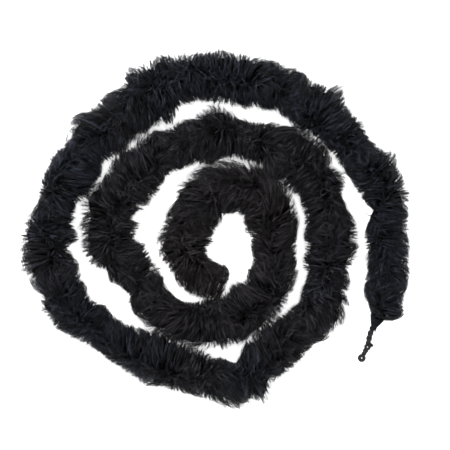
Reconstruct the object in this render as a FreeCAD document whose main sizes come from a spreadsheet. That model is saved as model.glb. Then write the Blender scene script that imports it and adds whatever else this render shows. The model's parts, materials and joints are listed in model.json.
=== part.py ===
import FreeCAD, Part
import math
import os

# Feather boa: a two-ply cord with marabou plumes gripped between its plies, laid flat in a
# loose spiral. The origin is on the table, under the middle of the spiral. +Z is up.

doc = FreeCAD.newDocument("feather_boa")
vector = FreeCAD.Vector
up = vector(0, 0, 1)

# ---------------------------------------------------------------- driving dimensions (mm, degrees)

sizes = doc.addObject("Spreadsheet::Sheet", "sizes")
driving_sizes = [
    ("pile_diameter", 42.0, "dense part of the plumes, across"),
    ("end_pile_diameter", 34.0, "the same at the two ends, where the plumes thin out"),
    ("pile_rise", 16.0, "cord's height in the pile, whose underside is pressed flat"),
    ("neck_rise", 12.0, "cord's height where it leaves the pile"),
    ("ply_diameter", 2.3, "one ply of the cord"),
    ("ply_gap", 0.1, "room for the quills between the plies"),
    ("knot_diameter", 8.0, "stop knot at the inner end"),
    ("whipping_wall", 0.6, "thread wound round the cord at the neck"),
    ("whipping_length", 6.0, "length of that winding"),
    ("end_eye_diameter", 7.2, "eye at the tail's tip, outside"),
    ("end_eye_bore", 2.4, "hole of that eye"),
    ("second_eye_diameter", 6.4, "smaller eye in the tail, outside"),
    ("second_eye_bore", 1.8, "hole of that eye"),
    ("eye_thickness", 2.4, "height of both eyes"),
    ("eye_rounding", 0.9, "rounded outer edges of both eyes"),
    ("tag_length", 5.5, "cut end of cord beside the second eye"),
    ("tag_diameter", 2.2, "that end's thickness at its root"),
    ("tag_tip_diameter", 1.5, "and at its cut tip"),
    ("inner_bend", 20.0, "inner end swings into the middle of the spiral"),
    ("outer_bend", 35.0, "outer turn swings away from the spiral"),
    ("end_bend_out", 35.0, "free end swings out"),
    ("end_bend_in", 6.0, "free end swings in"),
    ("tail_swing", 35.0, "bare tail swings to either side"),
    ("bend_clearance", 0.6, "room between the faces that meet at a bend"),
]
for row, (name, value, note) in enumerate(driving_sizes, start=1):
    sizes.set(f"A{row}", name)
    sizes.set(f"B{row}", str(value))
    sizes.set(f"C{row}", note)
    sizes.setAlias(f"B{row}", name)
doc.recompute()


def size(name):
    return float(sizes.get(name))


# ---------------------------------------------------------------- route of the cord

# Seen from above, from the inner end outward. The turns are laid by hand, so they are uneven.
# The last point is the neck, where the cord leaves the pile.
pile_route = [
    (1, -53), (-22, -45), (-34, -15), (-27, 17), (0, 40), (37, 34), (57, 9), (59, -27),
    (48, -66), (20, -88), (-20, -94), (-58, -79), (-80, -52), (-105, -25), (-112, 12),
    (-93, 45), (-62, 70), (-24, 87), (18, 92), (62, 82), (95, 56), (108, 24), (112, -22),
    (104, -72), (81, -107), (38, -140), (-3, -152), (-46, -142), (-86, -123), (-129, -98),
    (-156, -68), (-170, -30), (-167, 14), (-149, 53), (-126, 88), (-93, 119), (-51, 142),
    (-4, 152), (48, 144), (97, 121), (133, 84), (159, 44), (169, -5), (169, -54), (159, -90),
]

# The bare tail beyond the neck: across the table to the second eye, then to the end eye.
tail_droop = (154.0, -103.0)
second_eye_place = (150.6, -120.0)
end_eye_place = (144.7, -131.0)

# The cut end of cord that sticks out beside the second eye.
tag_root = (151.6, -115.4)
tag_heading = -43.0  # degrees from +X

# A bend lies halfway between two points of the route: the number is the first of the two.
inner_bend_after = 2
outer_bend_after = 39
end_bend_after = 41

cord_radius = "sizes.ply_diameter + sizes.ply_gap / 2"
cord_diameter = 2 * size("ply_diameter") + size("ply_gap")
floor_rise = cord_diameter / 2
arc_share = 0.45  # of the shorter run, taken by the arc at a point

rises = [size("pile_rise")] * (len(pile_route) - 1) + [size("neck_rise")]
route = [vector(x, y, rise) for (x, y), rise in zip(pile_route, rises)]
neck = route[-1]
last_point = len(route) - 1


def middle(a, b):
    return (a + b) * 0.5


def arc_at(before, corner, after):
    """Ends and middle of the arc that rounds a corner of the route, and its radius."""
    run_in = corner - before
    run_out = after - corner
    reach = arc_share * min(run_in.Length, run_out.Length)
    start = corner - run_in.normalize() * reach
    end = corner + run_out.normalize() * reach
    half_turn = run_in.getAngle(run_out) / 2
    radius = reach / math.tan(half_turn)
    inward = (middle(start, end) - corner).normalize()
    top = corner + inward * (radius / math.cos(half_turn) - radius)
    return start, top, end, radius


def path_from(start, corners, end):
    """Straight runs joined by tangent arcs, as one wire. A corner is its three points."""
    edges = []
    here = start
    for corner in corners:
        arc_start, top, arc_end, radius = arc_at(*corner)
        edges.append(Part.LineSegment(here, arc_start).toShape())
        edges.append(Part.Arc(arc_start, top, arc_end).toShape())
        here = arc_end
    edges.append(Part.LineSegment(here, end).toShape())
    return Part.Wire(edges)


def route_part(first, last, start, end, rise=0.0):
    """The route from start to end, round its points first to last, raised a little."""
    lift = up * rise
    corners = [[route[at + step] + lift for step in (-1, 0, 1)] for at in range(first, last + 1)]
    return path_from(start + lift, corners, end + lift)


def bend_between(first):
    return middle(route[first], route[first + 1])


# ---------------------------------------------------------------- helpers for the document

kept_nodes = []


def keep(item, name):
    item.Label = name
    kept_nodes.append(item)
    return item


def node(name):
    return next(item for item in kept_nodes if item.Label == name)


def add(kind, name, **bound):
    """An object whose properties follow the sheet."""
    item = doc.addObject(kind, name)
    for prop, formula in bound.items():
        item.setExpression(prop, formula)
    return item


def tube(name, wire, radius_formula):
    """A round rod along a path."""
    path = doc.addObject("Part::Feature", name + "_path")
    path.Shape = wire
    ring = add("Part::Circle", name + "_section", Radius=radius_formula)
    first_run = wire.OrderedEdges[0]
    start = first_run.valueAt(first_run.FirstParameter)
    heading = first_run.tangentAt(first_run.FirstParameter)
    ring.Placement = FreeCAD.Placement(start, FreeCAD.Rotation(up * -1, vector(), heading, "ZXY"))
    rod = doc.addObject("Part::Sweep", name + "_rod")
    rod.Sections = [ring]
    rod.Spine = (path, [])
    rod.Solid = True
    rod.Frenet = False
    return rod


def cut(name, base, tool):
    item = doc.addObject("Part::Cut", name)
    item.Base = base
    item.Tool = tool
    return item


# ---------------------------------------------------------------- bends

# Cutting blocks, as multiples of the pile's diameter. The floor reaches past the whole spiral. A
# bevel's block is long enough to clear the end of a plume group, and too short for the next turn.
floor_reach = 12
bevel_reach = 0.5
bevel_width = 1.2
bevel_height = 2

# The floor, which presses the underside of the pile flat.
floor_block = add("Part::Box", "floor_block", Length=f"sizes.pile_diameter * {floor_reach}",
                  Width=f"sizes.pile_diameter * {floor_reach}", Height="sizes.pile_diameter")
floor_block.setExpression("Placement.Base.x", "-Length / 2")
floor_block.setExpression("Placement.Base.y", "-Width / 2")
floor_block.setExpression("Placement.Base.z", "-Height")


def bevel(name, hinge, heading, tilt):
    """A block whose near face stands upright through a hinge, a little short of it.

    heading points from the piece that is cut towards the hinge, and tilt turns the face about
    the hinge, in degrees. Everything past the face is cut away."""
    block = add("Part::Box", name, Length=f"sizes.pile_diameter * {bevel_reach}",
                Width=f"sizes.pile_diameter * {bevel_width}", Height=f"sizes.pile_diameter * {bevel_height}")
    turn = math.degrees(math.atan2(heading.y, heading.x)) + tilt
    spin = FreeCAD.Rotation(up, turn)
    corner = vector(-size("bend_clearance") / 2, -size("pile_diameter") * bevel_width / 2,
                    -size("pile_diameter") * bevel_height / 2)
    block.Placement = FreeCAD.Placement(hinge + spin.multVec(corner), spin)
    return block


def bevels(name, hinge, heading, left_swing, right_swing):
    """Cutters for the piece before a bend. A swing is how far the next piece turns that way."""
    left = bevel(name + "_left", hinge, heading, left_swing / 2)
    right = bevel(name + "_right", hinge, heading, -right_swing / 2)
    return [left, right]


def swing_pair(name, hinge, heading, left, right):
    """Cutters for the pieces on both sides of a bend: before it, and after it."""
    before = bevels(name + "_before", hinge, heading, left, right)
    after = bevels(name + "_after", hinge, heading * -1, right, left)
    return before, after


# The route runs clockwise from the inner end, so the middle of the spiral is on its right.
# Turning the part after a bend to its left opens the spiral.
inner_hinge = bend_between(inner_bend_after)
outer_hinge = bend_between(outer_bend_after)
end_hinge = bend_between(end_bend_after)
inner_heading = route[inner_bend_after + 1] - route[inner_bend_after]
outer_heading = route[outer_bend_after + 1] - route[outer_bend_after]
end_heading = route[end_bend_after + 1] - route[end_bend_after]
tail_heading = vector(tail_droop[0] - neck.x, tail_droop[1] - neck.y, 0).normalize()
neck_slope = (neck - route[-2]).normalize()
tail_hinge = neck + neck_slope * size("whipping_length")

inner_cuts = swing_pair("inner_bend", inner_hinge, inner_heading, 0, size("inner_bend"))
outer_cuts = swing_pair("outer_bend", outer_hinge, outer_heading, size("outer_bend"), 0)
end_cuts = swing_pair("end_bend", end_hinge, end_heading, size("end_bend_out"), size("end_bend_in"))
tail_cuts = swing_pair("tail_swing", tail_hinge, tail_heading, size("tail_swing"), size("tail_swing"))


# ---------------------------------------------------------------- cord inside the pile

# Each stretch's name, its first and last rounded point, its two ends and its cutters.
stretches = [
    ("inner_end", 1, inner_bend_after, route[0], inner_hinge, inner_cuts[0]),
    ("coil", inner_bend_after + 1, outer_bend_after, inner_hinge, outer_hinge,
     inner_cuts[1] + outer_cuts[0]),
    ("outer_turn", outer_bend_after + 1, end_bend_after, outer_hinge, end_hinge,
     outer_cuts[1] + end_cuts[0]),
    ("free_end", end_bend_after + 1, last_point - 1, end_hinge, tail_hinge,
     end_cuts[1] + tail_cuts[0]),
]
plies = [("upper", 1), ("lower", -1)]


def cut_all(name, item, tools):
    for number, tool in enumerate(tools, start=1):
        item = cut(f"{name}_cut_{number}", item, tool)
    return item


for stretch, first, last, start, end, cutters in stretches:
    for which, side in plies:
        name = f"{stretch}_{which}_ply"
        offset = side * (size("ply_diameter") + size("ply_gap")) / 2
        rod = tube(name, route_part(first, last, start, end, offset), "sizes.ply_diameter / 2")
        keep(cut_all(name, rod, cutters), name)

# The knot that stops the plumes at the inner end. The plies are worked into it.
knot_offset = 0.35  # of its diameter, from the cord's end to the knot's centre
start_heading = (route[0] - route[1]).normalize()
knot_ball = add("Part::Sphere", "knot_ball", Radius="sizes.knot_diameter / 2")
knot_ball.Placement.Base = route[0] + start_heading * (size("knot_diameter") * knot_offset)
knot_face = add("Part::Box", "knot_face", Length="sizes.knot_diameter * 2",
                Width="sizes.knot_diameter * 2", Height="sizes.knot_diameter * 2")
knot_turn = FreeCAD.Rotation(vector(1, 0, 0), start_heading * -1)
knot_face.Placement = FreeCAD.Placement(
    route[0] + knot_turn.multVec(vector(0, -size("knot_diameter"), -size("knot_diameter"))),
    knot_turn)
keep(cut("stop_knot_cut", knot_ball, knot_face), "stop_knot")

# The thread winding that grips the cord where the plumes end.
winding_path = path_from(neck, [], tail_hinge)
winding = tube("neck_winding_outside", winding_path, cord_radius + " + sizes.whipping_wall")
winding_hole = tube("neck_winding_hole", winding_path, cord_radius)
winding_tube = cut("neck_winding_tube", winding, winding_hole)
keep(cut_all("neck_winding", winding_tube, tail_cuts[0]), "neck_winding")


# ---------------------------------------------------------------- pile of plumes

group_cutters = {
    inner_bend_after: inner_cuts[0], inner_bend_after + 1: inner_cuts[1],
    outer_bend_after: outer_cuts[0], outer_bend_after + 1: outer_cuts[1],
    end_bend_after: end_cuts[0], end_bend_after + 1: end_cuts[1],
}
for number in range(last_point):
    name = f"plume_group_{number + 1:02d}"
    first = number == 0
    last = number == last_point - 1
    start = neck if last else bend_between(number)
    wire = route_part(1, 0, route[0], start) if first else route_part(
        number, number, bend_between(number - 1), start)
    across = "sizes.end_pile_diameter / 2" if first or last else "sizes.pile_diameter / 2"
    pile = tube(name, wire, across)
    hole = tube(name + "_hole", wire, cord_radius)
    group = cut(name + "_flat", cut(name + "_tube", pile, hole), floor_block)
    keep(cut_all(name, group, group_cutters.get(number, [])), name)


# ---------------------------------------------------------------- bare tail

def eye(name, place, outside, bore):
    """A ring of cord lying flat on the table, with rounded outer edges."""
    body = add("Part::Cylinder", name + "_outside", Radius=f"sizes.{outside} / 2",
               Height="sizes.eye_thickness")
    hole = add("Part::Cylinder", name + "_hole", Radius=f"sizes.{bore} / 2",
               Height="sizes.eye_thickness")
    for item in (body, hole):
        item.Placement.Base = vector(place[0], place[1], 0)
    doc.recompute()
    rounded = doc.addObject("Part::Fillet", name + "_rounded")
    rounded.Base = body
    rings = [number for number, edge in enumerate(body.Shape.Edges, start=1)
             if isinstance(edge.Curve, Part.Circle)]
    rounded.Edges = [(number, size("eye_rounding"), size("eye_rounding")) for number in rings]
    return cut(name + "_ring", rounded, hole)


def clear_of_eye(name, item, place, outside):
    """The cord stops where an eye begins. The disc is taller than the cord on the table."""
    disc = add("Part::Cylinder", name + "_disc", Radius=f"sizes.{outside} / 2",
               Height="sizes.pile_diameter / 2")
    disc.Placement.Base = vector(place[0], place[1], 0)
    return cut(name + "_stopped", item, disc)


def on_table(place, rise):
    return vector(place[0], place[1], rise)


second_eye = on_table(second_eye_place, floor_rise)
end_eye = on_table(end_eye_place, floor_rise)
keep(eye("end_eye", end_eye_place, "end_eye_diameter", "end_eye_bore"), "end_eye")
keep(eye("second_eye", second_eye_place, "second_eye_diameter", "second_eye_bore"), "second_eye")

touch_down = on_table(tail_droop, floor_rise + size("ply_diameter"))
upper_tail_path = path_from(tail_hinge, [[tail_hinge, touch_down, second_eye]], second_eye)
upper_tail = tube("upper_tail", upper_tail_path, cord_radius)
upper_tail = cut_all("upper_tail", upper_tail, tail_cuts[1])
keep(clear_of_eye("upper_tail", upper_tail, second_eye_place, "second_eye_diameter"), "upper_tail_cord")

lower_tail_path = path_from(second_eye, [], end_eye)
lower_tail = tube("lower_tail", lower_tail_path, cord_radius)
lower_tail = clear_of_eye("lower_tail_top", lower_tail, second_eye_place, "second_eye_diameter")
keep(clear_of_eye("lower_tail_tip", lower_tail, end_eye_place, "end_eye_diameter"), "lower_tail_cord")

tag_rise = size("tag_diameter") / 2
tag = add("Part::Cone", "tag_cone", Radius1="sizes.tag_diameter / 2",
          Radius2="sizes.tag_tip_diameter / 2", Height="sizes.tag_length")
tag_direction = FreeCAD.Rotation(up, tag_heading).multVec(vector(1, 0, 0))
tag.Placement = FreeCAD.Placement(on_table(tag_root, tag_rise), FreeCAD.Rotation(up, tag_direction))
tag_beside_cord = cut("tag_beside_cord", tag, node("upper_tail_cord"))
keep(clear_of_eye("tag", tag_beside_cord, second_eye_place, "second_eye_diameter"), "cord_tag")


# ---------------------------------------------------------------- checks and files

doc.recompute()
for item in doc.Objects:
    if "Invalid" in item.State or "Error" in item.State:
        raise RuntimeError(f"{item.Label} did not compute")
for item in kept_nodes:
    shape = item.Shape
    if shape.isNull() or not shape.isValid() or len(shape.Solids) != 1:
        raise RuntimeError(f"{item.Label} is not one valid solid")

tube_area = math.pi * (size("ply_diameter") / 2) ** 2
cord_length = 0.0
for stretch, first, last, start, end, cutters in stretches:
    length = route_part(first, last, start, end).Length
    cord_length += length
    solid = node(f"{stretch}_lower_ply").Shape
    print(f"{stretch}: path {length:.1f} mm, ply volume over section {solid.Volume / tube_area:.1f} mm")
radii = [arc_at(*corner)[3] for corner in zip(route, route[1:], route[2:])]
tail_length = upper_tail_path.Length + lower_tail_path.Length
print(f"cord in the pile {cord_length:.0f} mm, tail {tail_length:.0f} mm")
print("radii in the pile", " ".join(f"{radius:.0f}" for radius in radii))
print(f"radius in the tail {arc_at(tail_hinge, touch_down, second_eye)[3]:.0f}")

os.makedirs("parts", exist_ok=True)
for item in kept_nodes:
    item.Shape.exportStep(f"parts/{item.Label}.step")
whole = Part.makeCompound([item.Shape for item in kept_nodes])
box = whole.BoundBox
print(f"{len(kept_nodes)} nodes, box {box.XMin:.2f} {box.YMin:.2f} {box.ZMin:.2f} to "
      f"{box.XMax:.2f} {box.YMax:.2f} {box.ZMax:.2f}, volume {whole.Volume / 1e6:.3f} litres")
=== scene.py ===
import json
import math
import bpy
import numpy as np
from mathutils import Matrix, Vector

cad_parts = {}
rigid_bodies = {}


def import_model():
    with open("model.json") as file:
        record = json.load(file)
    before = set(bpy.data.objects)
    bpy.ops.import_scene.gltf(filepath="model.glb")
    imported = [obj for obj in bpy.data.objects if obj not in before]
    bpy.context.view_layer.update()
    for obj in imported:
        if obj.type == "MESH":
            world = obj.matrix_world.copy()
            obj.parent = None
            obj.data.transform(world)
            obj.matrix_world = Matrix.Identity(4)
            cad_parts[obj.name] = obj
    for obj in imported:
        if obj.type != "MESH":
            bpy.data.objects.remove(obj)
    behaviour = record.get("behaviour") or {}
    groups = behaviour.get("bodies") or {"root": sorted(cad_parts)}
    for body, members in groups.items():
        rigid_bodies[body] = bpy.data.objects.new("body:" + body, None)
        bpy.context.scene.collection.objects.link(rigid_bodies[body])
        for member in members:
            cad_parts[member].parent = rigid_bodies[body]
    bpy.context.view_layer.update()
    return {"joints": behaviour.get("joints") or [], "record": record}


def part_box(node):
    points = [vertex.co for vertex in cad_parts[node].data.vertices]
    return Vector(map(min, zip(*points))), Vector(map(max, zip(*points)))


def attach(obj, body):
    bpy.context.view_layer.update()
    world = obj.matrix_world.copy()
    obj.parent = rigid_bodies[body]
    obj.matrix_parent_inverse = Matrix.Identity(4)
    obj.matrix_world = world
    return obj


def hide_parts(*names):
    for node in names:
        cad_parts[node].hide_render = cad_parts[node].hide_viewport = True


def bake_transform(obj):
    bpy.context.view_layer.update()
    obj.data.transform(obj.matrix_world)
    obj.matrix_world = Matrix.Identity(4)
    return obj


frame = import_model()

mm = 0.001
up = np.array([0.0, 0.0, 1.0])
justOffFloor = 0.05 * mm  # solid yarn stops here
fibreRise = 0.0003  # the loose fibres' lowest height

# camera: straight above the laid spiral, with a long lens so the sides of the pile hardly show

cameraSetup = {
    "over": (0.007, 0.003), "height": 2.2, "sceneWidth": 0.450, "sharpHeight": 0.018, "sensor": 36.0,
}


def makeCamera(setup):
    lens = bpy.data.cameras.new("topCamera")
    lens.sensor_width = setup["sensor"]
    lens.lens = setup["sensor"] * (setup["height"] - setup["sharpHeight"]) / setup["sceneWidth"]
    camera = bpy.data.objects.new("topCamera", lens)
    camera.location = (*setup["over"], setup["height"])
    bpy.context.scene.collection.objects.link(camera)
    bpy.context.scene.camera = camera
    return camera


makeCamera(cameraSetup)

# the cord's route, in millimetres as it was laid, from the inner end outward

pileRoute = [
    (1, -53), (-22, -45), (-34, -15), (-27, 17), (0, 40), (37, 34), (57, 9), (59, -27),
    (48, -66), (20, -88), (-20, -94), (-58, -79), (-80, -52), (-105, -25), (-112, 12),
    (-93, 45), (-62, 70), (-24, 87), (18, 92), (62, 82), (95, 56), (108, 24), (112, -22),
    (104, -72), (81, -107), (38, -140), (-3, -152), (-46, -142), (-86, -123), (-129, -98),
    (-156, -68), (-170, -30), (-167, 14), (-149, 53), (-126, 88), (-93, 119), (-51, 142),
    (-4, 152), (48, 144), (97, 121), (133, 84), (159, 44), (169, -5), (169, -54), (159, -90),
]
cordSetup = {"plyWidth": 2.3, "plyGap": 0.1, "rise": 16.0, "neckRise": 12.0, "windingLength": 6.0}
cordWidth = 2 * cordSetup["plyWidth"] + cordSetup["plyGap"]
tailSetup = {
    "touchDown": (153.3, -103.5), "touchRise": cordWidth / 2 + cordSetup["plyWidth"],
    "secondEye": (150.6, -120.0), "endEye": (144.7, -131.0), "eyeStop": 2.6,
}

routePoints = [(x * mm, y * mm, cordSetup["rise"] * mm) for x, y in pileRoute[:-1]]
neck = np.array([pileRoute[-1][0], pileRoute[-1][1], cordSetup["neckRise"]]) * mm
neckSlope = neck - np.array(routePoints[-1])
neckSlope /= np.linalg.norm(neckSlope)
tailHinge = neck + neckSlope * cordSetup["windingLength"] * mm
routePoints += [tuple(neck), tuple(tailHinge)]

flatRise = cordWidth / 2
secondEye = np.array([*tailSetup["secondEye"], flatRise]) * mm
endEye = np.array([*tailSetup["endEye"], flatRise]) * mm
touchDown = np.array([*tailSetup["touchDown"], tailSetup["touchRise"]]) * mm
tailEnd = endEye + (secondEye - endEye) / np.linalg.norm(secondEye - endEye) * tailSetup["eyeStop"] * mm
tailPoints = [tuple(tailHinge), tuple(touchDown), tuple(secondEye), tuple(tailEnd)]


def splinePoints(points, steps=24):
    curve = bpy.data.curves.new("route", "CURVE")
    curve.dimensions = "3D"
    spline = curve.splines.new("NURBS")
    spline.points.add(len(points) - 1)
    for place, point in zip(spline.points, points):
        place.co = (*point, 1.0)
    spline.order_u = 3
    spline.use_endpoint_u = True
    spline.resolution_u = steps
    holder = bpy.data.objects.new("route", curve)
    bpy.context.scene.collection.objects.link(holder)
    bpy.context.view_layer.update()
    line = bpy.data.meshes.new_from_object(holder.evaluated_get(bpy.context.evaluated_depsgraph_get()))
    found = np.array([v.co[:] for v in line.vertices])
    bpy.data.objects.remove(holder)
    bpy.data.meshes.remove(line)
    bpy.data.curves.remove(curve)
    return found


class Line:
    # a path that can be asked for places at any distance along it, past its ends too
    def __init__(self, points, step=0.001):
        points = np.asarray(points, float)
        along = np.concatenate([[0], np.cumsum(np.linalg.norm(np.diff(points, axis=0), axis=1))])
        self.length = along[-1]
        count = max(3, int(round(self.length / step)) + 1)
        self.at = np.linspace(0, self.length, count)
        self.points = np.stack([np.interp(self.at, along, points[:, i]) for i in range(3)], 1)
        ahead = np.gradient(self.points, self.at, axis=0)
        self.ahead = ahead / np.linalg.norm(ahead, axis=1)[:, None]
        side = np.cross(up, self.ahead)
        self.side = side / np.linalg.norm(side, axis=1)[:, None]

    def read(self, values, where):
        return np.stack([np.interp(where, self.at, values[:, i]) for i in range(3)], -1)

    def place(self, where):
        past = where - np.clip(where, 0, self.length)
        return self.read(self.points, where) + self.read(self.ahead, where) * past[..., None]

    def nearest(self, point):
        return self.at[np.argmin(np.linalg.norm(self.points - np.asarray(point), axis=1))]


route = Line(splinePoints(routePoints))
tail = Line(splinePoints(tailPoints), step=0.0005)
print(f"route {route.length * 1000:.0f} mm in the pile, tail {tail.length * 1000:.0f} mm")

# where the boa bends: each joint's name, the two bodies it joins and its place along the route
bends = {joint["name"]: (joint["parent"], joint["child"], route.nearest(joint["pos_m"]))
         for joint in frame["joints"]}
innerBend, outerBend, endBend = (bends[name][2] for name in ("inner_end_bend", "outer_bend", "end_bend"))
stretches = {
    "inner_end": (0.0, innerBend), "coil": (innerBend, outerBend),
    "outer_turn": (outerBend, endBend), "free_end": (endBend, route.length),
}

# what each finish looks like
finishes = {
    "plumes": {
        "deep": (0.0016, 0.0016, 0.002), "tipDark": (0.0075, 0.0076, 0.0093),
        # the pale tip tone is a painted highlight standing in for sheen
        "paleTipHighlight": (0.066, 0.067, 0.080), "toneStops": (0.1, 0.4, 0.62, 0.9),
        "cool": (0.82, 0.92, 1.16), "warm": (1.26, 0.99, 0.84),
        # where along each barb the painted shade at its root gives way
        "rootShadeStops": (0.05, 0.5), "roughness": 0.45, "shine": 0.22, "sheen": 0.03, "sheenRoughness": 0.4,
    },
    # the down core under the barbs: near-black, painted shade seen between the barbs
    "shadedDown": {
        "gapShade": (0.0012, 0.0012, 0.0014), "pale": (0.004, 0.004, 0.0045),
        "roughness": 1.0, "shine": 0.0, "grain": 900,
    },
    "cord": {
        "gapShade": (0.016, 0.016, 0.017), "pale": (0.052, 0.052, 0.056),
        "roughness": 0.85, "shine": 0.15, "grain": 1800,
    },
    "thread": {
        "gapShade": (0.008, 0.008, 0.009), "pale": (0.03, 0.03, 0.032),
        "roughness": 0.7, "shine": 0.25, "grain": 2600,
    },
    "floor": {"colour": (0.93, 0.93, 0.93), "roughness": 0.9, "shine": 0.1, "glow": 0.92},
}
# the yarn's darkest colour sits in the hollows of its bump: painted shade
yarnSurface = {
    "detail": 6.0, "fineness": 0.7, "gapShadeStop": 0.35, "fibreStop": 0.72, "bump": 0.5, "bumpDepth": 0.0002,
}


class Nodes:
    # short way to make and join shader nodes
    def __init__(self, name):
        self.material = bpy.data.materials.new(name)
        self.material.use_nodes = True
        self.tree = self.material.node_tree
        self.shader = self.tree.nodes["Principled BSDF"]

    def new(self, kind, **settings):
        node = self.tree.nodes.new("ShaderNode" + kind)
        for key, value in settings.items():
            setattr(node, key, value)
        return node

    def join(self, start, end):
        self.tree.links.new(start, end)

    def ramp(self, source, stops):
        node = self.new("ValToRGB")
        bands = node.color_ramp.elements
        while len(bands) < len(stops):
            bands.new(0.5)
        for band, (place, colour) in zip(bands, stops):
            band.position = place
            band.color = (*colour, 1.0)
        self.join(source, node.inputs["Fac"])
        return node.outputs["Color"]

    def mix(self, kind, amount, first, second):
        node = self.new("Mix", data_type="RGBA", blend_type=kind)
        for place, value in (("Factor", amount), (6, first), (7, second)):
            socket = node.inputs[place]
            if isinstance(value, bpy.types.NodeSocket):
                self.join(value, socket)
            else:
                socket.default_value = value if isinstance(value, (int, float)) else (*value, 1.0)
        return node.outputs[2]


def plumeMaterial(look):
    # every barb carries its own tone, how far along it a point is, and how warm its stretch is; the tone
    # differs at random, its pale tips are painted highlights and its roots carry painted shade
    m = Nodes("marabouDown")
    barb = m.new("Attribute", attribute_name="barb")
    parts = m.new("SeparateColor")
    m.join(barb.outputs["Color"], parts.inputs["Color"])
    tone, along, warmth = (parts.outputs[name] for name in ("Red", "Green", "Blue"))
    # random tones from deep to pale; the pale tip colour is a painted highlight
    tones = (look["deep"], look["tipDark"], look["tipDark"], look["paleTipHighlight"])
    tip = m.ramp(tone, list(zip(look["toneStops"], tones)))
    # painted shade: each barb darkens towards its root, deep inside the pile
    reach = m.ramp(along, list(zip(look["rootShadeStops"], ((0, 0, 0), (1, 1, 1)))))
    body = m.mix("MIX", reach, look["deep"], tip)
    tint = m.mix("MIX", warmth, look["cool"], look["warm"])
    m.join(m.mix("MULTIPLY", 1.0, body, tint), m.shader.inputs["Base Color"])
    m.shader.inputs["Roughness"].default_value = look["roughness"]
    m.shader.inputs["Specular IOR Level"].default_value = look["shine"]
    m.shader.inputs["Sheen Weight"].default_value = look["sheen"]
    m.shader.inputs["Sheen Roughness"].default_value = look["sheenRoughness"]
    return m.material


def yarnMaterial(name, look, surface):
    # dull spun yarn: darker between the fibres as painted shade in the hollows of the bump, paler on them,
    # with a fine bump
    m = Nodes(name)
    places = m.new("TexCoord")
    stretch = m.new("Mapping")
    stretch.inputs["Scale"].default_value = (look["grain"],) * 3
    m.join(places.outputs["Object"], stretch.inputs["Vector"])
    spun = m.new("TexNoise")
    spun.inputs["Scale"].default_value = 1.0
    spun.inputs["Detail"].default_value = surface["detail"]
    spun.inputs["Roughness"].default_value = surface["fineness"]
    m.join(stretch.outputs["Vector"], spun.inputs["Vector"])
    # painted shade: the colour is darkest where the noise, which also sets the bump's height, is lowest
    stops = [(surface["gapShadeStop"], look["gapShade"]), (surface["fibreStop"], look["pale"])]
    m.join(m.ramp(spun.outputs["Fac"], stops), m.shader.inputs["Base Color"])
    bump = m.new("Bump")
    bump.inputs["Strength"].default_value = surface["bump"]
    bump.inputs["Distance"].default_value = surface["bumpDepth"]
    m.join(spun.outputs["Fac"], bump.inputs["Height"])
    m.join(bump.outputs["Normal"], m.shader.inputs["Normal"])
    m.shader.inputs["Roughness"].default_value = look["roughness"]
    m.shader.inputs["Specular IOR Level"].default_value = look["shine"]
    return m.material


plumeFinish = plumeMaterial(finishes["plumes"])
# the down core's near-black finish is painted shade between the barbs
shadedDownFinish = yarnMaterial("downCoreShade", finishes["shadedDown"], yarnSurface)
cordFinish = yarnMaterial("spunCord", finishes["cord"], yarnSurface)
threadFinish = yarnMaterial("windingThread", finishes["thread"], yarnSurface)


def makePiece(name, points, faces, finish, values=None, sizes=None):
    # points n x 3; faces m x 4, or a plain list of corners with each face's number of corners in sizes;
    # values n x 3 for the barb colour
    mesh = bpy.data.meshes.new(name)
    corners = np.asarray(faces, np.int32).ravel()
    if sizes is None:
        sizes = np.full(len(faces), faces.shape[1])
    mesh.vertices.add(len(points))
    mesh.vertices.foreach_set("co", np.asarray(points, np.float32).ravel())
    mesh.loops.add(len(corners))
    mesh.loops.foreach_set("vertex_index", corners)
    mesh.polygons.add(len(sizes))
    mesh.polygons.foreach_set("loop_start", (np.cumsum(sizes) - sizes).astype(np.int32))
    mesh.polygons.foreach_set("use_smooth", np.ones(len(sizes), bool))
    if values is not None:
        shade = mesh.color_attributes.new("barb", "FLOAT_COLOR", "POINT")
        filled = np.concatenate([values, np.ones((len(values), 1))], 1)
        shade.data.foreach_set("color", filled.astype(np.float32).ravel())
        chart = mesh.uv_layers.new(name="OFBake")
        chart.uv.foreach_set("vector", values[corners, :2].astype(np.float32).ravel())
    mesh.materials.append(finish)
    mesh.update()
    mesh.validate()
    piece = bpy.data.objects.new(name, mesh)
    bpy.context.scene.collection.objects.link(piece)
    return piece


def ringFaces(rings, corners, closed=False):
    # quads between rings of points that follow each other
    ring, corner = np.meshgrid(np.arange(rings if closed else rings - 1), np.arange(corners), indexing="ij")
    after, beside = (ring + 1) % rings, (corner + 1) % corners
    return np.stack([ring * corners + corner, ring * corners + beside,
                     after * corners + beside, after * corners + corner], -1).reshape(-1, 4)


def framesAlong(points, closed=False):
    # two directions square to the path at each of its points, turning with it as little as they can
    ahead = np.roll(points, -1, 0) - np.roll(points, 1, 0) if closed else np.gradient(points, axis=0)
    ahead /= np.linalg.norm(ahead, axis=1)[:, None]
    first = np.cross(ahead[0], up if abs(ahead[0][2]) < 0.9 else np.array([1.0, 0, 0]))
    sides = [first / np.linalg.norm(first)]
    for direction in ahead[1:]:
        turned = sides[-1] - direction * (sides[-1] @ direction)
        sides.append(turned / np.linalg.norm(turned))
    sides = np.array(sides)
    return ahead, sides, np.cross(ahead, sides)


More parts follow.
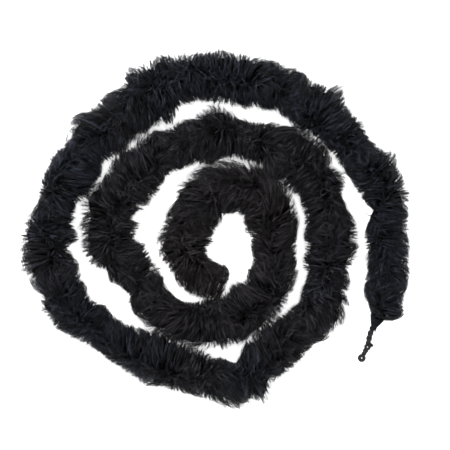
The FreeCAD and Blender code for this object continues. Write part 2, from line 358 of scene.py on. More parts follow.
def yarnTube(points, radius, strands=3, lay=0.006, corners=12, depth=0.22, closed=False, taper=None):
    # a yarn of twisted strands: its section has a bulge for each strand, and turns along the path
    points = np.asarray(points, float)
    ahead, side, rise = framesAlong(points, closed)
    along = np.concatenate([[0], np.cumsum(np.linalg.norm(np.diff(points, axis=0), axis=1))])
    if closed:
        whole = along[-1] + np.linalg.norm(points[0] - points[-1])
        lay = whole / max(1, round(whole / lay))
    turn = 2 * math.pi * along / lay
    angle = np.arange(corners) * 2 * math.pi / corners
    bulge = np.abs(np.cos(strands * (angle[None] - turn[:, None]) / 2))
    reach = radius * (1 - depth + depth * bulge)
    if taper is not None:
        reach = reach * taper[:, None]
    ring = (points[:, None] + reach[..., None] * (np.cos(angle)[None, :, None] * side[:, None]
            + np.sin(angle)[None, :, None] * rise[:, None]))
    faces = ringFaces(len(points), corners, closed)
    return ring.reshape(-1, 3), faces


def endCaps(points, faces, corners):
    # closes a tube's two open ends, each with a fan of triangles
    count = len(points)
    ends = np.stack([points[:corners].mean(0), points[-corners:].mean(0)])
    corner = np.arange(corners)
    beside = (corner + 1) % corners
    last = count - corners
    near = np.stack([beside, corner, corner * 0 + count], -1)
    far = np.stack([last + corner, last + beside, corner * 0 + count + 1], -1)
    return np.concatenate([points, ends]), np.concatenate([near, far])


def joined(parts):
    # several sets of points and faces as one
    start, allPoints, allFaces = 0, [], []
    for points, faces in parts:
        allPoints.append(points)
        allFaces.append(faces + start)
        start += len(points)
    return np.concatenate(allPoints), np.concatenate(allFaces)


def twistedPair(line, start, end, look, turnAt=None, bowAt=None, taperAt=None, dipAt=None):
    # two plies wound round the path between two distances along it
    where = np.linspace(start, end, max(4, int((end - start) / look["step"]) + 1))
    centre = line.read(line.points, where)
    side, ahead = line.read(line.side, where), line.read(line.ahead, where)
    rise = np.cross(ahead, side)
    turn = 2 * math.pi / look["lay"] * (where if turnAt is None else turnAt(where))
    away = plyOffset + (0 * where if bowAt is None else bowAt(where))
    axis = centre.copy()
    if dipAt is not None:
        axis[:, 2] -= dipAt(where)
    taper = None if taperAt is None else taperAt(where)
    parts = []
    for half in (0, math.pi):
        outward = np.cos(turn + half)[:, None] * side + np.sin(turn + half)[:, None] * rise
        ply, plyFaces = yarnTube(axis + away[:, None] * outward, plyRadius * look["plump"],
                                 lay=look["lay"] * plyLook["strandLay"], corners=plyLook["corners"],
                                 depth=plyLook["depth"], taper=taper)
        ply[:, 2] = np.maximum(ply[:, 2], justOffFloor)
        parts.append((ply, plyFaces))
    return joined(parts), centre


# core cord, in one length for each body

coreLook = {"lay": 0.011, "step": 0.0015, "plump": 1.08}
plyLook = {"strandLay": 0.55, "corners": 12, "depth": 0.12}
plyRadius = cordSetup["plyWidth"] / 2 * mm
plyOffset = (cordSetup["plyWidth"] + cordSetup["plyGap"]) / 2 * mm
coreNames = {"inner_end": "coreCordInner", "coil": "coreCordCoil", "outer_turn": "coreCordOuter",
             "free_end": "coreCordFree"}
for body, (start, end) in stretches.items():
    (points, faces), centre = twistedPair(route, start, end, coreLook)
    core = makePiece(coreNames[body], points, faces, cordFinish)
    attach(core, body)
    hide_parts(f"{body}_upper_ply", f"{body}_lower_ply")
print("core cord laid")

# plumes: tufts of fine barbs that leave the cord on both sides of a quill wound round it

# how far the pile stands out from the cord: a place counted in route points, then millimetres to the
# outer side and to the inner side of the turn there
pileEdges = [
    (0, 21, 16), (0.6, 22, 14), (1, 23, 15), (1.3, 21, 16), (1.6, 25, 17), (1.8, 28, 24), (2, 28, 25),
    (2.4, 25, 24), (2.85, 17, 26), (3.2, 25, 26), (3.6, 28, 22), (4, 31, 21), (4.5, 28, 21), (5, 28, 21),
    (5.4, 31, 24), (5.7, 28, 26), (6, 24, 28), (6.4, 19, 24), (7, 19, 21), (7.3, 23, 20), (8, 23, 22),
    (8.5, 27, 25), (9, 27, 23), (10, 28, 17), (10.5, 27, 13), (11, 28, 13), (11.3, 23, 14),
    (11.6, 20, 18), (11.8, 15, 22), (12, 15, 22), (12.4, 19, 26), (12.7, 15, 25), (13, 27, 21),
    (13.3, 28, 23), (13.6, 26, 28), (13.9, 26, 28), (14.2, 28, 20), (14.4, 29, 22), (14.7, 20, 26),
    (15, 22, 28), (15.3, 24, 28), (15.6, 23, 25), (16, 25, 18), (16.6, 20, 19), (17, 23, 22),
    (17.3, 28, 22), (17.6, 33, 20), (17.85, 22, 21), (18, 17, 20), (18.5, 18, 20), (18.8, 20, 24),
    (19, 22, 29), (19.6, 28, 29), (20, 24, 26), (20.2, 20, 24), (20.5, 26, 21), (21, 17, 22),
    (21.4, 23, 22), (21.7, 29, 22), (22.1, 27, 22), (22.4, 19, 22), (22.6, 22, 18), (23, 27, 18),
    (23.3, 31, 17), (23.7, 19, 20), (24, 17, 24), (24.5, 21, 28), (24.8, 20, 26), (24.9, 23, 24),
    (25, 32, 20), (25.17, 38, 15), (25.35, 25, 9), (25.6, 33, 14), (25.8, 29, 18), (26, 23, 18),
    (26.4, 18, 24), (26.7, 18, 25), (27, 19, 26), (27.4, 22, 29), (27.7, 20, 29), (28, 20, 23),
    (28.4, 17, 19), (28.6, 15, 19), (29, 17, 22), (29.3, 22, 18), (29.65, 25, 19), (30, 27, 22),
    (30.35, 15, 22), (30.6, 20, 23), (30.8, 27, 21), (31, 28, 20), (31.2, 28, 17), (31.5, 27, 28),
    (31.8, 22, 23), (32.1, 14, 19), (32.4, 19, 18), (32.9, 23, 28), (33.3, 22, 25), (33.5, 18, 22),
    (33.65, 15, 20), (33.8, 22, 21), (33.93, 30, 24), (34.15, 27, 28), (34.35, 22, 30), (34.6, 22, 28),
    (35, 21, 28), (35.2, 21, 27), (35.45, 32, 28), (35.75, 28, 31), (36, 32, 24), (36.25, 28, 20),
    (36.6, 25, 20), (37, 26, 23), (37.6, 24, 25), (38, 24, 22), (38.4, 24, 19), (38.7, 21, 21),
    (38.9, 25, 27), (39, 26, 28), (39.15, 34, 26), (39.35, 23, 20), (39.6, 21, 17), (39.9, 23, 18),
    (40.2, 16, 19), (40.45, 21, 18), (40.65, 32, 18), (40.85, 25, 18), (41.2, 27, 16), (41.5, 25, 8),
    (41.8, 22, 15), (42, 21, 19), (43, 21, 18), (43.3, 20, 18), (43.6, 22, 11), (44, 22, 5),
]
plumeLook = {
    "seed": 11, "groups": 44, "tuftsPerMm": 22.0, "barbsPerTuft": 7, "pointsPerBarb": 6,
    # the pile's outline
    "fullness": 1.105, "topReach": 20.0, "underReach": 16.0, "edgeLumps": 0.05, "topLumps": 0.08,
    "closing": 17.0, "mostClosed": 0.93, "overKnot": 0.008,
    # where tufts leave the cord: most of them from its upper half, given in half turns
    "upperShare": 0.82, "upperTurns": (-0.12, 1.12), "lowerTurns": (1.12, 1.88), "bedTurn": 1.3,
    # how they fall to the sides of the ridge, and those that lie over it
    "ridgeSway": 0.85, "ridgeBlur": 0.16, "highest": 1.9,
    "fallLeast": 0.15, "fallParted": 0.2, "fallOwn": 0.4, "fallRange": (-0.4, 1),
    "coverShare": 0.2, "coverParted": 1.3, "coverBlur": 0.3, "coverFall": 0.35, "coverLean": 9,
    # how they lean along the cord, in millimetres, and close over its two ends
    "quillPitch": 38.0, "quillSway": 0.5, "quillLean": 7.0, "sweepLean": 16.0, "looseLean": 1.6,
    "leanRange": (0.3, 1.1), "startRun": 12, "startCalm": 0.5, "startPush": 2,
    "endRun": 10, "endStop": 6, "endCalm": 0.8, "endPush": 2.2, "endPull": 1.2, "tuckBack": 8,
    # the pointed locks that neighbours cling together in
    "lock": 3.4, "lockAngle": 0.17, "lockShift": 6, "lockSway": 2, "cling": 0.75,
    "lockReach": 1.04, "notch": 0.32,
    # the barbs of one tuft, and how soon each bends the way its tuft goes
    "barbWidth": 0.27, "widthRange": (0.7, 1.15), "tuftSpread": 0.45, "tuftRadius": 15,
    "tuftNarrowing": 0.7, "narrowingPower": 1.5, "leanPower": 1.15, "turnPower": 1.25, "outPower": 2.3,
    "reachBlur": 0.022, "tipReach": 1.01, "reachLoss": 0.14, "leanBlur": 0.35, "turnBlur": 0.04,
    "rootShare": (0.3, 0.72), "wave": 0.35, "waveAlong": 7, "waveOut": 6, "floorGap": 0.35, "floorRange": 1.6,
    "strayShare": 0.08, "strayReach": 1.09, "strayOpening": 1.3, "strayWidth": 0.45,
    # their tone, and the warmth that fades from the inner end outward
    "tuftTone": 0.75, "barbTone": 0.25, "warmthAtStart": 0.78, "warmthLost": 0.95, "warmthSway": 0.2,
}
neckLook = {
    "barbs": 3200, "start": (1, 12), "lie": (3, 11), "root": 1.5, "slim": 2.3, "full": 5.2,
    "past": 5, "run": 13, "slimmest": 0.1, "outerSide": 0.5, "outRange": (0.6, 1.1), "outPower": 0.6,
    "blur": 0.25, "floorGap": 0.4, "toneRange": (0.2, 0.85), "warmth": 0.1,
}
downLook = {
    "share": 0.72, "topShare": 0.6, "lumps": 0.12, "lumpTwist": 9, "step": 2.0, "corners": 24, "overlap": 0.5,
    "floorGap": 0.8, "endRun": 14, "endFade": 9, "endLoss": 0.6,
}
ribbonLook = {"rootWidth": 0.62, "widening": 0.58, "tipPower": 5, "tipWidth": 0.05}
# soft random hills: how long each is in millimetres, and its seed
hills = {
    "outerEdge": (9, 7), "innerEdge": (9, 9), "top": (24, 17), "ridge": (26, 13), "parting": (16, 19),
    "quill": (60, 3), "sweep": (31, 5), "lockRows": (1, 41), "locks": (12, 43), "warmth": (60, 21),
    "lumps": (4.5, 31),
}


def smoothNoise(where, period, seed):
    # soft random hills along a length, from -1 to 1
    heights = np.random.default_rng(seed).uniform(-1, 1, 4096)
    place = np.asarray(where) / period + 1000
    low = np.floor(place).astype(int)
    share = place - low
    share = share * share * (3 - 2 * share)
    return heights[low % 4096] * (1 - share) + heights[(low + 1) % 4096] * share


pointPlaces = np.array([route.nearest(point) for point in routePoints[:-1]]) * 1000
edgeRows = np.array(pileEdges)
edgeAt = np.interp(edgeRows[:, 0], np.arange(len(pointPlaces)), pointPlaces)


def edgeLumps(where, name, height):
    return 1 + height * smoothNoise(where, *hills[name])


def pileReach(where, angle):
    # the pile's own outline: a lumpy oval round the cord, wider on one side than the other
    look = plumeLook
    outer = np.interp(where, edgeAt, edgeRows[:, 1]) * edgeLumps(where, "outerEdge", look["edgeLumps"])
    inner = np.interp(where, edgeAt, edgeRows[:, 2]) * edgeLumps(where, "innerEdge", look["edgeLumps"])
    across = np.where(np.cos(angle) > 0, outer, inner)
    level = look["topReach"] * edgeLumps(where, "top", look["topLumps"])
    upright = np.where(np.sin(angle) > 0, level, look["underReach"])
    shut = np.clip((look["closing"] / 4 - where) / look["closing"], 0, look["mostClosed"])
    oval = np.sqrt((np.cos(angle) / across) ** 2 + (np.sin(angle) / upright) ** 2)
    return look["fullness"] * np.sqrt(1 - shut ** 2) / oval


def onPile(where, angle, out):
    # a place in the pile from its distance along the cord, its angle round it and its distance out, all mm
    centre = route.place(where * mm)
    across = route.read(route.side, where * mm)
    points = centre + (out * np.cos(angle) * mm)[..., None] * across
    points[..., 2] += out * np.sin(angle) * mm
    return points


def tuftFall(look, where, angle, random):
    # tufts fall to either side of a ridge that wanders over the top of the pile
    count = len(where)
    ridge = math.pi / 2 + look["ridgeSway"] * smoothNoise(where, *hills["ridge"])
    outward = angle + random.normal(0, look["ridgeBlur"], count) < ridge
    height = np.where(outward, angle, math.pi - angle)
    parted = 0.5 + 0.5 * smoothNoise(where, *hills["parting"])
    share = look["fallLeast"] + look["fallParted"] * parted
    share = share + look["fallOwn"] * random.uniform(*look["fallRange"], count)
    fall = np.clip(height, 0, look["highest"]) * share
    fall = np.where(angle < look["bedTurn"] * math.pi, np.where(outward, -fall, fall), 0)
    # some lie along the top instead, and hide most of the parting
    cover = random.uniform(0, 1, count) < look["coverShare"] * (look["coverParted"] - parted)
    angle = np.where(cover, ridge + random.normal(0, look["coverBlur"], count), angle)
    fall = np.where(cover, random.normal(0, look["coverFall"], count), fall)
    return angle, fall, cover


def tuftLean(look, where, angle, cover, random):
    # the quill's turns and the way the boa was shaken out sweep tufts forward and back along the cord
    count = len(where)
    turns = angle / (2 * math.pi) - where / look["quillPitch"]
    turns = turns + look["quillSway"] * smoothNoise(where, *hills["quill"])
    sweep = look["sweepLean"] * smoothNoise(where, *hills["sweep"])
    lean = look["quillLean"] * np.sin(2 * math.pi * turns) + sweep
    lean = lean * random.uniform(*look["leanRange"], count)
    lean = lean + random.normal(0, look["looseLean"], count)
    lean = np.where(cover, lean + random.choice([-look["coverLean"], look["coverLean"]], count), lean)
    # at the two ends they close over the end of the cord
    atStart = np.clip(1 - where / look["startRun"], 0, 1)
    atEnd = np.clip(1 - (route.length * 1000 - look["endStop"] - where) / look["endRun"], 0, 1)
    lean = lean * (1 - look["startCalm"] * atStart - look["endCalm"] * atEnd)
    push = look["endPush"] * atEnd - look["startPush"] * atStart
    lean = lean + random.uniform(0, 2, count) * push - look["endPull"] * atEnd
    return lean - look["tuckBack"] * atEnd * np.maximum(np.cos(angle), 0)


def clingTogether(look, where, angle, lean, fall):
    # neighbours cling together in pointed locks, and offLock says how far a tuft is from its lock's middle
    row = np.round((angle + fall) / look["lockAngle"])
    overTop = np.maximum(np.sin(angle + fall), 0) ** 2
    shift = look["lockShift"] * smoothNoise(row, *hills["lockRows"]) * overTop
    shift = shift + look["lockSway"] * smoothNoise(where, *hills["locks"])
    place = (where + lean + shift) / look["lock"]
    offLock = place - np.round(place)
    lean = lean - look["cling"] * offLock * look["lock"]
    fall = fall - look["cling"] * (angle + fall - row * look["lockAngle"])
    return lean, fall, offLock


def plumeBarbs(look, start, end, random):
    # middle line of every barb on a stretch of the route, in metres, and the barb's own numbers
    tufts = int((end - start) * 1000 * look["tuftsPerMm"])
    barbs = look["barbsPerTuft"]
    where = random.uniform(start, end, tufts) * 1000
    angle = np.where(random.uniform(0, 1, tufts) < look["upperShare"],
                     random.uniform(*look["upperTurns"], tufts) * math.pi,
                     random.uniform(*look["lowerTurns"], tufts) * math.pi)
    angle, fall, cover = tuftFall(look, where, angle, random)
    lean = tuftLean(look, where, angle, cover, random)
    lean, fall, offLock = clingTogether(look, where, angle, lean, fall)
    reach = pileReach(where + lean, angle + fall) * random.normal(1.0, look["reachBlur"], tufts)
    reach *= look["lockReach"] - look["notch"] * np.abs(offLock)

    def perBarb(values):
        return np.repeat(values, barbs)

    count = tufts * barbs
    t = np.linspace(0, 1, look["pointsPerBarb"])[None]
    ownWhere = random.normal(0, look["tuftSpread"], count)
    ownAngle = random.normal(0, look["tuftSpread"] / look["tuftRadius"], count)
    stray = random.uniform(0, 1, count) < look["strayShare"]
    ownReach = perBarb(reach) * (look["tipReach"] - look["reachLoss"] * random.uniform(0, 1, count) ** 2)
    ownReach = ownReach * np.where(stray, look["strayReach"], 1.0)
    narrowed = 1 - look["tuftNarrowing"] * t ** look["narrowingPower"]
    gather = np.where(stray[:, None], look["strayOpening"], narrowed)
    along = perBarb(where)[:, None] + ownWhere[:, None] * gather
    ownLean = perBarb(lean) + random.normal(0, look["leanBlur"], count)
    along = along + ownLean[:, None] * t ** look["leanPower"]
    turn = perBarb(angle)[:, None] + ownAngle[:, None] * gather
    ownFall = perBarb(fall) + random.normal(0, look["turnBlur"], count)
    turn = turn + ownFall[:, None] * t ** look["turnPower"]
    root = perBarb(reach * random.uniform(*look["rootShare"], tufts))[:, None]
    out = root + (ownReach[:, None] - root) * (1 - (1 - t) ** look["outPower"])
    wave = random.uniform(0, 2 * math.pi, (count, 1))
    along = along + look["wave"] * np.sin(wave + look["waveAlong"] * t) * t
    out = out + look["wave"] * np.cos(wave + look["waveOut"] * t) * t
    points = onPile(along, turn, out)
    floorGap = (look["floorGap"] + look["floorRange"] * random.uniform(0, 1, (count, 1))) * mm
    points[..., 2] = np.maximum(points[..., 2], floorGap)
    width = look["barbWidth"] * random.uniform(*look["widthRange"], count)
    width = width * np.where(stray, look["strayWidth"], 1.0)
    # a random tone for each tuft and barb; the highest tones take the pale tip colour, a painted highlight
    tone = look["tuftTone"] * perBarb(random.uniform(0, 1, tufts))
    tone = tone + look["barbTone"] * random.uniform(0, 1, count)
    warmth = look["warmthAtStart"] - look["warmthLost"] * perBarb(where) / (route.length * 1000)
    warmth = warmth + look["warmthSway"] * smoothNoise(perBarb(where), *hills["warmth"])
    return points, width, np.clip(tone, 0.01, 0.99), np.clip(warmth, 0, 1)


def neckBarbs(look, random):
    # the last short down lies along the cord as it leaves the pile
    count = look["barbs"]
    total = route.length * 1000
    t = np.linspace(0, 1, plumeLook["pointsPerBarb"])[None]
    where = total - random.uniform(*look["start"], count)
    angle = random.uniform(0, 2 * math.pi, count)
    along = where[:, None] + random.uniform(*look["lie"], count)[:, None] * t
    taper = np.clip((total + look["past"] - along) / look["run"], look["slimmest"], 1)
    outerSide = 1 + look["outerSide"] * np.maximum(np.cos(angle), 0)[:, None] * taper
    wide = (look["slim"] + look["full"] * taper) * outerSide
    reach = wide * random.uniform(*look["outRange"], count)[:, None]
    out = look["root"] + (reach - look["root"]) * t ** look["outPower"]
    turn = angle[:, None] + random.normal(0, look["blur"], count)[:, None] * t
    points = onPile(along, turn, out)
    points[..., 2] = np.maximum(points[..., 2], look["floorGap"] * mm)
    tone = random.uniform(*look["toneRange"], count)
    return points, np.full(count, plumeLook["barbWidth"]), tone, np.full(count, look["warmth"])


def barbRibbons(points, width, tone, warmth, random):
    # a narrow tapering ribbon along each barb's middle line
    look = ribbonLook
    count, steps = points.shape[:2]
    ahead = np.gradient(points, axis=1)
    ahead /= np.linalg.norm(ahead, axis=2)[..., None] + 1e-12
    roll = random.normal(0, 1, (count, 1, 3))
    flat = np.cross(ahead, roll)
    flat /= np.linalg.norm(flat, axis=2)[..., None] + 1e-12
    t = np.linspace(0, 1, steps)
    taper = (look["rootWidth"] + look["widening"] * t) * (1 - t ** look["tipPower"]) + look["tipWidth"]
    half = (width[:, None] * taper[None] * mm / 2)[..., None]
    ribbon = np.stack([points - flat * half, points + flat * half], 2).reshape(-1, 3)
    first = (np.arange(count)[:, None] * steps + np.arange(steps - 1)[None]) * 2
    faces = np.stack([first, first + 1, first + 3, first + 2], -1).reshape(-1, 4)
    each = steps * 2
    # the second value, how far along the barb, sets its painted root shade
    values = np.stack([np.repeat(tone, each), np.tile(np.repeat(t, 2), count), np.repeat(warmth, each)], 1)
    return ribbon, faces, values


def downMass(look, start, end):
    # the matted down under the barbs: a lumpy closed body that no light gets through, coloured near-black as
    # painted shade between the barbs
    rings = max(4, int((end - start) * 1000 / look["step"]))
    where = np.linspace(start * 1000 - look["overlap"], end * 1000 + look["overlap"], rings)[:, None]
    angle = (np.arange(look["corners"]) * 2 * math.pi / look["corners"])[None]
    lumps = 1 + look["lumps"] * smoothNoise(where + look["lumpTwist"] * np.sin(angle), *hills["lumps"])
    share = look["share"] + (look["topShare"] - look["share"]) * np.maximum(np.sin(angle), 0) ** 0.5
    # it stays well under the barbs where they close over the cord at the neck
    late = np.clip((where - route.length * 1000 + look["endRun"]) / look["endFade"], 0, 1)
    late = late * np.maximum(np.cos(angle), 0)
    out = share * (1 - look["endLoss"] * late) * pileReach(where, angle) * lumps
    points = onPile(where + 0 * angle, angle + 0 * where, out)
    points[..., 2] = np.maximum(points[..., 2], look["floorGap"] * mm)
    points, faces = points.reshape(-1, 3), ringFaces(rings, look["corners"])
    points, caps = endCaps(points, faces, look["corners"])
    return points, faces, caps


pileOrder = ["inner_end", "coil", "outer_turn", "free_end"]


def groupEnds():
    # each plume group lies between the middles of the runs beside its point of the route
    places = np.array(routePoints[:plumeLook["groups"] + 1])
    middles = (places[1:] + places[:-1]) / 2
    cuts = [0.0] + [route.nearest(point) for point in middles[:-1]]
    return list(zip(cuts, cuts[1:] + [route.nearest(neck)]))


def groupMesh(number, start, end):
    # one group in one mesh: its barbs, then the matted down under them, near-black as painted shade
    random = np.random.default_rng(plumeLook["seed"] + number)
    tuftStart = start - plumeLook["overKnot"] if number == 1 else start
    ribbon, faces, values = barbRibbons(*plumeBarbs(plumeLook, tuftStart, end, random), random)
    if number == plumeLook["groups"]:
        extra, extraFaces, extraValues = barbRibbons(*neckBarbs(neckLook, random), random)
        faces = np.concatenate([faces, extraFaces + len(ribbon)])
        ribbon, values = np.concatenate([ribbon, extra]), np.concatenate([values, extraValues])
    mass, massFaces, massCaps = downMass(downLook, start, end)
    begin = len(ribbon)
    points = np.concatenate([ribbon, mass])
    values = np.concatenate([values, np.tile([0.01, 0.01, 0.5], (len(mass), 1))])
    corners = np.concatenate([faces.ravel(), (massFaces + begin).ravel(), (massCaps + begin).ravel()])
    sizes = np.concatenate([np.full(len(faces) + len(massFaces), 4), np.full(len(massCaps), 3)])
    return points, corners, values, sizes, len(faces)


def bendBeside(start, end):
    # the bend at one of a group's two ends, if there is one: its place and the bodies it joins
    for parent, child, where in bends.values():
        if min(abs(start - where), abs(end - where)) < bendLook["near"] and child in pileOrder:
            return where, sorted((parent, child), key=pileOrder.index)
    return None


bodyOf = {node: body for body, nodes in frame["record"]["behaviour"]["bodies"].items() for node in nodes}
bendLook = {"reach": 0.021, "near": 0.002}
for number, (start, end) in enumerate(groupEnds(), start=1):
    node = f"plume_group_{number:02d}"
    points, corners, values, sizes, barbFaces = groupMesh(number, start, end)
    piece = makePiece(f"plumes{number:02d}", points, corners, plumeFinish, values, sizes)
    # the down core takes the near-black painted-shade finish
    piece.data.materials.append(shadedDownFinish)
    finishOfFace = (np.arange(len(sizes)) >= barbFaces).astype(np.int32)
    piece.data.polygons.foreach_set("material_index", finishOfFace)
    # the groups on both sides of a bend ride on no body: their placing is baked into their points
    bend = bendBeside(start, end)
    if bend:
        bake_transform(piece)
    else:
        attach(piece, bodyOf[node])
    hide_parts(node)
print("plumes laid on")

# bare tail: the cord beyond the neck, its two eyes, and the cut end beside the second eye

tailLook = {
    "lay": 0.0115, "step": 0.0005, "plump": 1.62, "plateau": 0.0032, "thin": 0.45, "thinFrom": 0.0042,
    "thinAt": 0.0024, "endAllowance": 0.0016, "eyeMiddle": 1.2,
}
eyeLook = {"lay": 0.0045, "rings": 96, "corners": 16, "plump": 1.45, "secondPlump": 1.2, "depth": 0.1}
secondAt = tail.nearest(secondEye)


def fromSecond(where):
    # distance from the middle of the second eye
    return np.abs(where - secondAt)


def tailTurn(where):
    # the twist rests while the plies pass round the second eye
    return np.sign(where - secondAt) * np.maximum(fromSecond(where) - tailLook["plateau"], 0)


def tailBow(where):
    # the plies spread to pass on both sides of the second eye
    ring = (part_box("second_eye")[1][0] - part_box("second_eye")[0][0]) / 2 - plyRadius
    return np.maximum(np.sqrt(np.maximum(ring ** 2 - fromSecond(where) ** 2, 0)) - plyOffset, 0)


def nearEyes(where):
    # 0 away from the eyes, 1 where the plies go into one
    toEnd = tail.length - where
    close = np.minimum(fromSecond(where), toEnd + tailLook["endAllowance"])
    share = np.clip((tailLook["thinFrom"] - close) / (tailLook["thinFrom"] - tailLook["thinAt"]), 0, 1)
    return share * share * (3 - 2 * share)


def tailTaper(where):
    # and get thinner where they go into an eye
    return 1 - (1 - tailLook["thin"]) * nearEyes(where)


def tailDip(where):
    # the plies come down to the eyes, which lie on the floor
    return nearEyes(where) * (cordWidth / 2 - tailLook["eyeMiddle"]) * mm


def yarnRing(name, node, look, plump):
    # an eye: a closed ring of two-strand yarn that lies flat
    low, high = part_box(node)
    middle, thick = (np.array(low) + np.array(high)) / 2, (high[2] - low[2]) / 2
    turn = np.arange(look["rings"]) * 2 * math.pi / look["rings"]
    around = (high[0] - low[0]) / 2 - thick
    circle = middle + around * np.stack([np.cos(turn), np.sin(turn), 0 * turn], 1)
    points, faces = yarnTube(circle, thick * plump, strands=2, lay=look["lay"], corners=look["corners"],
                             depth=look["depth"], closed=True)
    points[:, 2] = np.maximum(points[:, 2] + thick * (plump - 1), justOffFloor)
    piece = makePiece(name, points, faces, cordFinish)
    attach(piece, "tail")
    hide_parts(node)
    return piece


endRing = yarnRing("endEyeRing", "end_eye", eyeLook, eyeLook["plump"])
secondRing = yarnRing("secondEyeRing", "second_eye", eyeLook, eyeLook["secondPlump"])


def fibres(count, root, heading, spread, length, width, random, rootSpread):
    # a brush of fine bent fibres from about one place, as points of their middle lines
    t = np.linspace(0, 1, 5)[None, :, None]
    directions = np.array(heading) + random.normal(0, 1, (count, 3)) * spread
    directions /= np.linalg.norm(directions, axis=1)[:, None]
    roots = np.array(root) + random.normal(0, 1, (count, 3)) * rootSpread
    bend = random.normal(0, 0.25, (count, 1, 3))
    reach = random.uniform(0.5, 1, (count, 1, 1)) * length
    points = roots[:, None] + reach * (directions[:, None] * t + bend * t ** 2)
    points[..., 2] = np.maximum(points[..., 2], fibreRise)
    return points, np.full(count, width), random.uniform(0.2, 0.9, count), np.full(count, 0.4)


tagLook = {
    "root": (151.6, -115.4), "heading": -43.0, "length": 3.8, "thick": 1.45, "lay": 0.004, "steps": 14,
    "corners": 12, "fibres": 320, "fan": 0.36, "fibreLength": 0.0028, "fibreWidth": 0.16,
    "spread": (0.55, 0.55, 0.4), "seed": 5,
}


def makeTag(look):
    turn = math.radians(look["heading"])
    heading = np.array([math.cos(turn), math.sin(turn), 0])
    root = np.array([look["root"][0] * mm, look["root"][1] * mm, look["thick"] * mm]) - heading * mm
    steps = np.linspace(0, 1, look["steps"])
    path = root + heading * ((look["length"] + 1) * mm * steps)[:, None]
    tube, tubeFaces = yarnTube(path, look["thick"] * mm, strands=3, lay=look["lay"], corners=look["corners"],
                               taper=0.9 + 0.15 * steps)
    tube[:, 2] = np.maximum(tube[:, 2], justOffFloor)
    tube, caps = endCaps(tube, tubeFaces, look["corners"])
    random = np.random.default_rng(look["seed"])
    brush = fibres(look["fibres"], path[-1] - heading * 0.6 * mm, heading, look["fan"], look["fibreLength"],
                   look["fibreWidth"], random, np.array(look["spread"]) * mm)
    hair, hairFaces, _ = barbRibbons(*brush, random)
    faces = [hairFaces.ravel(), (tubeFaces + len(hair)).ravel(), (caps + len(hair)).ravel()]
    sizes = np.concatenate([np.full(len(hairFaces) + len(tubeFaces), 4), np.full(len(caps), 3)])
    points = np.concatenate([hair, tube])
    piece = makePiece("cutEnd", points, np.concatenate(faces), cordFinish, sizes=sizes)
    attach(piece, "tail")
    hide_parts("cord_tag")
    return piece


cutEnd = makeTag(tagLook)

(points, faces), centre = twistedPair(tail, 0.0, tail.length, tailLook, turnAt=tailTurn, bowAt=tailBow,
                                      taperAt=tailTaper, dipAt=tailDip)
tailCord = makePiece("tailCord", points, faces, cordFinish)
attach(tailCord, "tail")
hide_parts("upper_tail_cord", "lower_tail_cord")

fuzzLook = {"hairs": 460, "length": 0.0016, "width": 0.07, "seed": 8}


def makeFuzz(look):
    # loose fibres that stand off the bare cord
    random = np.random.default_rng(look["seed"])
    where = random.uniform(0.001, tail.length - 0.001, look["hairs"])
    turn = random.uniform(0, 2 * math.pi, look["hairs"])
    side, ahead = tail.read(tail.side, where), tail.read(tail.ahead, where)
    rise = np.cross(ahead, side)
    away = np.cos(turn)[:, None] * side + np.sin(turn)[:, None] * rise
    t = np.linspace(0, 1, 5)[None, :, None]
    reach = random.uniform(0.3, 1, (look["hairs"], 1, 1)) * look["length"]
    lean = random.normal(0, 0.8, (look["hairs"], 1, 1))
    root = tail.read(tail.points, where) + away * cordWidth * 0.42 * mm
    points = root[:, None] + reach * (away[:, None] * t + ahead[:, None] * lean * t ** 1.5)
    points[..., 2] = np.maximum(points[..., 2], fibreRise)
    even = np.full(look["hairs"], 0.5)
    width = np.full(look["hairs"], look["width"])
    hair, hairFaces, _ = barbRibbons(points, width, even, even, random)
    piece = makePiece("tailFuzz", hair, hairFaces, cordFinish)
    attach(piece, "tail")


makeFuzz(fuzzLook)

# the thread wound round the neck, and the knot inside the inner end

windingLook = {"thread": 0.00033, "lay": 0.0012, "turns": 10, "stepsPerTurn": 24, "corners": 8}


def makeWinding(look):
    steps = np.linspace(0, 1, look["turns"] * look["stepsPerTurn"])
    where = route.length - cordSetup["windingLength"] * mm * (1 - steps)
    turn = steps * look["turns"] * 2 * math.pi
    side, ahead = route.read(route.side, where), route.read(route.ahead, where)
    rise = np.cross(ahead, side)
    out = cordWidth / 2 * mm + look["thread"] * 0.8
    path = route.place(where) + out * (np.cos(turn)[:, None] * side + np.sin(turn)[:, None] * rise)
    points, faces = yarnTube(path, look["thread"], strands=2, lay=look["lay"], corners=look["corners"])
    piece = makePiece("neckWinding", points, faces, threadFinish)
    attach(piece, "free_end")
    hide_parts("neck_winding")


makeWinding(windingLook)

knotLook = {"ply": 0.00115, "lay": 0.005, "steps": 160, "corners": 12}


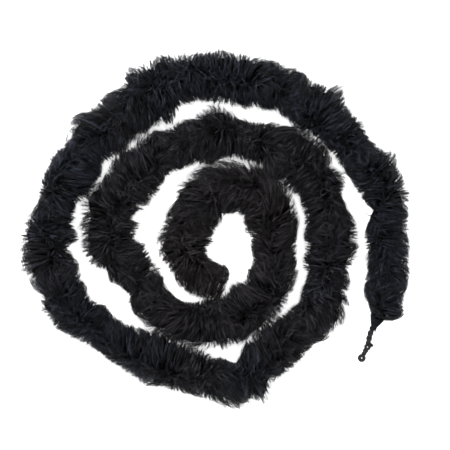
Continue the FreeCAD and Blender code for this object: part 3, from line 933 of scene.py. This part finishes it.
def makeStopKnot(look):
    # the cord's end tied in a round knot
    low, high = (np.array(corner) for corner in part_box("stop_knot"))
    half = (high[2] - low[2]) / 2
    turn = np.arange(look["steps"]) * 2 * math.pi / look["steps"]
    loop = np.stack([np.sin(turn) + 2 * np.sin(2 * turn), np.cos(turn) - 2 * np.cos(2 * turn),
                     -1.6 * np.sin(3 * turn)], 1)
    points, faces = yarnTube((low + high) / 2 + loop * (half - look["ply"]) / 3, look["ply"], strands=3,
                             lay=look["lay"], corners=look["corners"], closed=True)
    piece = makePiece("stopKnot", points, faces, cordFinish)
    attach(piece, "inner_end")
    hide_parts("stop_knot")


makeStopKnot(knotLook)
print("tail, eyes, winding and knot made")

# floor and light

studio = {"floorSize": 4.0, "worldColour": (1.0, 1.0, 1.0), "worldStrength": 0.6,
          "lamps": [((-0.7, 0.8, 1.3), 0.7, 22.0), ((0.8, -0.4, 1.4), 1.0, 5.0)]}


def makeStudio(setup):
    half = setup["floorSize"] / 2
    corners = np.array([(-half, -half, 0), (half, -half, 0), (half, half, 0), (-half, half, 0)], float)
    m = Nodes("studioFloor")
    m.shader.inputs["Base Color"].default_value = (*finishes["floor"]["colour"], 1.0)
    m.shader.inputs["Roughness"].default_value = finishes["floor"]["roughness"]
    m.shader.inputs["Specular IOR Level"].default_value = finishes["floor"]["shine"]
    m.shader.inputs["Emission Color"].default_value = (1.0, 1.0, 1.0, 1.0)
    m.shader.inputs["Emission Strength"].default_value = finishes["floor"]["glow"]
    floor = makePiece("studioFloor", corners, np.array([[0, 1, 2, 3]]), m.material)
    world = bpy.data.worlds.new("studio")
    bpy.context.scene.world = world
    world.use_nodes = True
    sky = world.node_tree.nodes["Background"]
    sky.inputs["Color"].default_value = (*setup["worldColour"], 1.0)
    sky.inputs["Strength"].default_value = setup["worldStrength"]
    for number, (place, width, power) in enumerate(setup["lamps"]):
        light = bpy.data.lights.new(f"softbox{number}", "AREA")
        light.size = width
        light.energy = power
        lamp = bpy.data.objects.new(f"softbox{number}", light)
        lamp.location = place
        lamp.rotation_euler = (-Vector(place)).to_track_quat("-Z", "Y").to_euler()
        bpy.context.scene.collection.objects.link(lamp)
    bpy.context.scene.view_settings.view_transform = "Standard"


makeStudio(studio)
